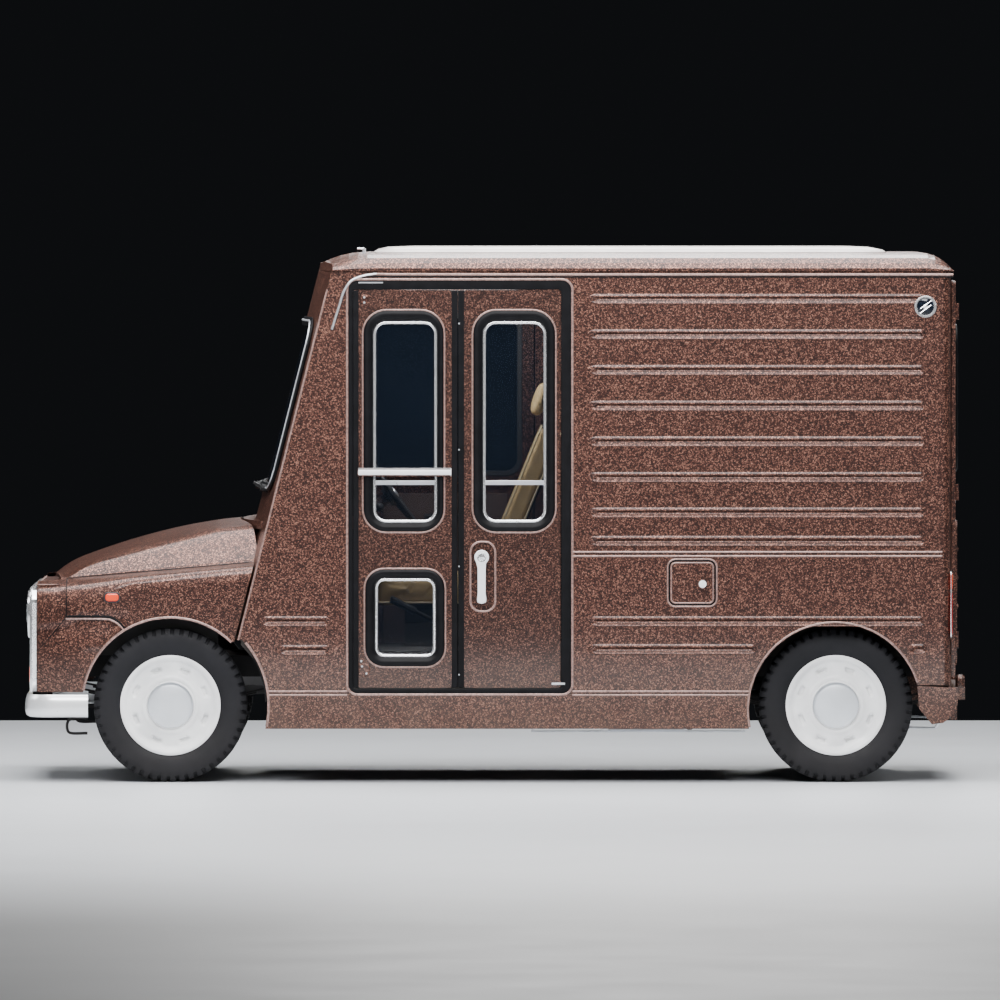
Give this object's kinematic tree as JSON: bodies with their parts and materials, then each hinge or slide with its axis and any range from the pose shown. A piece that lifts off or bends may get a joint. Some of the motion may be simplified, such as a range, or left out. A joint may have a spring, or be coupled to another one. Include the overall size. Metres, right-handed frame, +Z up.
{
  "type": "mail delivery truck",
  "caption": "Small walk-through mail delivery truck: sloping bonnet, tall ribbed box body, folding kerb-side door, hinged driver's door and rear doors on a leaf-sprung ladder frame.",
  "frame": {"origin": "on the ground, under the middle of the truck's bounding box", "axes": "+X to the rear, +Y to the truck's right side, +Z up; the bonnet faces -X and the kerb-side door faces -Y"},
  "size_m": [3.968, 1.748, 2.251],
  "materials": {
    "paint": "brown metallic, coarse bright flake under clear coat",
    "roof_white": "off-white gloss",
    "chrome": "polished",
    "glass": "lightly tinted",
    "lens": "clear, fluted",
    "tyre": "matt black",
    "wheel_white": "white gloss",
    "black_steel": "satin black",
    "cast_iron": "bare casting",
    "brown_trim": "satin brown",
    "black_rubber": "moulded",
    "tan_vinyl": "grained vinyl"
  },
  "bodies": {
    "chassis": {"chassis_frame": "black_steel", "floor_pan": "brown_trim", "body_side_left": "paint", "body_side_right": "paint", "roof_shell": "paint", "roof_panel": "roof_white", "cab_front": "paint", "windscreen": "glass", "front_fender_left": "paint", "front_fender_right": "paint", "nose_panel": "paint", "grille": "chrome", "headlamp_left": "lens", "headlamp_right": "lens", "front_bumper": "chrome", "rear_bumper": "paint", "engine": "cast_iron", "exhaust": "black_steel", "fuel_tank": "black_steel", "dashboard": "brown_trim", "front_leaf_spring_left": "black_steel", "front_leaf_spring_right": "black_steel", "rear_leaf_spring_left": "black_steel", "rear_leaf_spring_right": "black_steel"},
    "front_axle": {"front_axle_beam": "black_steel"},
    "knuckle_left": {"steering_knuckle_left": "cast_iron"},
    "knuckle_right": {"steering_knuckle_right": "cast_iron"},
    "tie_rod": {"tie_rod": "black_steel"},
    "rear_axle": {"rear_axle": "black_steel"},
    "prop_shaft": {"prop_shaft": "black_steel"},
    "front_wheel_left": {"front_tyre_left": "tyre", "front_rim_left": "wheel_white"},
    "front_wheel_right": {"front_tyre_right": "tyre", "front_rim_right": "wheel_white"},
    "rear_wheel_left": {"rear_tyre_left": "tyre", "rear_rim_left": "wheel_white"},
    "rear_wheel_right": {"rear_tyre_right": "tyre", "rear_rim_right": "wheel_white"},
    "steering_wheel": {"steering_wheel": "black_rubber"},
    "shift_lever": {"shift_lever": "black_rubber"},
    "clutch_pedal": {"clutch_pedal": "black_steel"},
    "brake_pedal": {"brake_pedal": "black_steel"},
    "accelerator_pedal": {"accelerator_pedal": "black_steel"},
    "handbrake": {"handbrake_lever": "black_steel"},
    "driver_seat": {"driver_seat": "tan_vinyl"},
    "hood": {"hood": "paint"},
    "kerb_front_leaf": {"kerb_door_front_leaf": "paint", "front_leaf_upper_glass": "glass", "front_leaf_lower_glass": "glass"},
    "kerb_rear_leaf": {"kerb_door_rear_leaf": "paint", "rear_leaf_glass": "glass"},
    "kerb_handle": {"kerb_door_handle": "chrome"},
    "driver_door": {"driver_door": "paint", "driver_door_glass": "glass"},
    "rear_door_left": {"rear_door_left": "paint"},
    "rear_door_right": {"rear_door_right": "paint"},
    "rear_handle": {"rear_door_handle": "chrome"},
    "fuel_flap": {"fuel_flap": "paint"},
    "wiper_left": {"wiper_left": "black_steel"},
    "wiper_right": {"wiper_right": "black_steel"}
  },
  "joints": [
    {"name": "front_suspension", "type": "slide", "parent": "chassis", "child": "front_axle", "axis": [0, 0, 1], "range_m": [-0.06, 0.03], "stiffness_N_per_m": 90000, "springref_m": -0.06202, "deforming": ["front_leaf_spring_left", "front_leaf_spring_right"]},
    {"name": "rear_suspension", "type": "slide", "parent": "chassis", "child": "rear_axle", "axis": [0, 0, 1], "range_m": [-0.06, 0.03], "stiffness_N_per_m": 110000, "springref_m": -0.05907, "deforming": ["rear_leaf_spring_left", "rear_leaf_spring_right"]},
    {"name": "steering", "type": "hinge", "parent": "chassis", "child": "steering_wheel", "pos_m": [-0.43, 0.38, 1.19], "axis": [0.8118, 0, 0.5839], "range_deg": [-468, 468]},
    {"name": "kingpin_left", "type": "hinge", "parent": "front_axle", "child": "knuckle_left", "pos_m": [-1.36, -0.59, 0.323], "axis": [0, 0, 1], "range_deg": [-26, 26]},
    {"name": "kingpin_right", "type": "hinge", "parent": "front_axle", "child": "knuckle_right", "pos_m": [-1.36, 0.59, 0.323], "axis": [0, 0, 1], "range_deg": [-26, 26]},
    {"name": "tie_rod_travel", "type": "slide", "parent": "front_axle", "child": "tie_rod", "axis": [0, 1, 0], "range_m": [-0.0681, 0.0681]},
    {"name": "front_wheel_left_spin", "type": "hinge", "parent": "knuckle_left", "child": "front_wheel_left", "pos_m": [-1.36, -0.695, 0.323], "axis": [0, 1, 0], "continuous": true},
    {"name": "front_wheel_right_spin", "type": "hinge", "parent": "knuckle_right", "child": "front_wheel_right", "pos_m": [-1.36, 0.695, 0.323], "axis": [0, 1, 0], "continuous": true},
    {"name": "rear_wheel_left_spin", "type": "hinge", "parent": "rear_axle", "child": "rear_wheel_left", "pos_m": [1.44, -0.695, 0.323], "axis": [0, 1, 0], "continuous": true},
    {"name": "rear_wheel_right_spin", "type": "hinge", "parent": "rear_axle", "child": "rear_wheel_right", "pos_m": [1.44, 0.695, 0.323], "axis": [0, 1, 0], "continuous": true},
    {"name": "prop_shaft_spin", "type": "hinge", "parent": "chassis", "child": "prop_shaft", "pos_m": [-0.552, 0, 0.415], "axis": [0.9987, 0, -0.05], "continuous": true},
    {"name": "gear_shift", "type": "hinge", "parent": "chassis", "child": "shift_lever", "pos_m": [-0.54772, 0.38, 1.10534], "axis": [0.8118, 0, 0.5839], "range_deg": [-15, 15]},
    {"name": "clutch_press", "type": "hinge", "parent": "chassis", "child": "clutch_pedal", "pos_m": [-0.88, 0.31, 0.94], "axis": [0, 1, 0], "range_deg": [0, 18], "stiffness_Nm_per_rad": 20, "springref_deg": -8.59},
    {"name": "brake_press", "type": "hinge", "parent": "chassis", "child": "brake_pedal", "pos_m": [-0.88, 0.436, 0.94], "axis": [0, 1, 0], "range_deg": [0, 18], "stiffness_Nm_per_rad": 20, "springref_deg": -8.59},
    {"name": "accelerator_press", "type": "hinge", "parent": "chassis", "child": "accelerator_pedal", "pos_m": [-0.88, 0.53, 0.94], "axis": [0, 1, 0], "range_deg": [0, 15], "stiffness_Nm_per_rad": 20, "springref_deg": -8.59},
    {"name": "handbrake_pull", "type": "hinge", "parent": "chassis", "child": "handbrake", "pos_m": [-0.12, 0.11, 0.585], "axis": [0, 1, 0], "range_deg": [0, 35]},
    {"name": "seat_travel", "type": "slide", "parent": "chassis", "child": "driver_seat", "axis": [1, 0, 0], "range_m": [-0.09, 0.07]},
    {"name": "hood_hinge", "type": "hinge", "parent": "chassis", "child": "hood", "pos_m": [-1.077, 0, 1.106], "axis": [0, 1, 0], "range_deg": [0, 50]},
    {"name": "kerb_leaf_hinge", "type": "hinge", "parent": "chassis", "child": "kerb_front_leaf", "pos_m": [-0.56, -0.842, 1.2], "axis": [0, 0, 1], "range_deg": [0, 70]},
    {"name": "kerb_fold_hinge", "type": "hinge", "parent": "kerb_front_leaf", "child": "kerb_rear_leaf", "pos_m": [-0.15, -0.842, 1.2], "axis": [0, 0, -1], "range_deg": [0, 140]},
    {"name": "kerb_handle_turn", "type": "hinge", "parent": "kerb_rear_leaf", "child": "kerb_handle", "pos_m": [-0.05, -0.85, 0.949], "axis": [0, -1, 0], "range_deg": [0, 80], "stiffness_Nm_per_rad": 1.5, "springref_deg": -5.73},
    {"name": "driver_door_hinge", "type": "hinge", "parent": "chassis", "child": "driver_door", "pos_m": [-0.6, 0.848, 1.2], "axis": [0, 0, 1], "range_deg": [0, 70]},
    {"name": "rear_door_left_hinge", "type": "hinge", "parent": "chassis", "child": "rear_door_left", "pos_m": [1.953, -0.79, 1.2], "axis": [0, 0, -1], "range_deg": [0, 100]},
    {"name": "rear_door_right_hinge", "type": "hinge", "parent": "chassis", "child": "rear_door_right", "pos_m": [1.953, 0.79, 1.2], "axis": [0, 0, 1], "range_deg": [0, 100]},
    {"name": "rear_handle_turn", "type": "hinge", "parent": "rear_door_right", "child": "rear_handle", "pos_m": [1.96, 0.07, 1.18], "axis": [1, 0, 0], "range_deg": [0, 80]},
    {"name": "fuel_flap_hinge", "type": "hinge", "parent": "chassis", "child": "fuel_flap", "pos_m": [0.745, -0.847, 0.84], "axis": [0, 0, -1], "range_deg": [0, 100]},
    {"name": "wiper_sweep", "type": "hinge", "parent": "chassis", "child": "wiper_left", "pos_m": [-0.94942, -0.56, 1.228], "axis": [0.9644, 0.0998, -0.245], "range_deg": [0, 95]},
    {"name": "wiper_follow", "type": "hinge", "parent": "chassis", "child": "wiper_right", "pos_m": [-0.97833, 0.03, 1.228], "axis": [0.9692, -0.0054, -0.2463], "range_deg": [0, 95]}
  ],
  "couplings": [
    {"joint": "kingpin_left", "follows": "steering", "ratio": 0.055556},
    {"joint": "kingpin_right", "follows": "steering", "ratio": 0.055556},
    {"joint": "tie_rod_travel", "follows": "steering", "m_per_rad": 0.0083333},
    {"joint": "kerb_fold_hinge", "follows": "kerb_leaf_hinge", "ratio": 2},
    {"joint": "wiper_follow", "follows": "wiper_sweep", "ratio": 1}
  ]
}
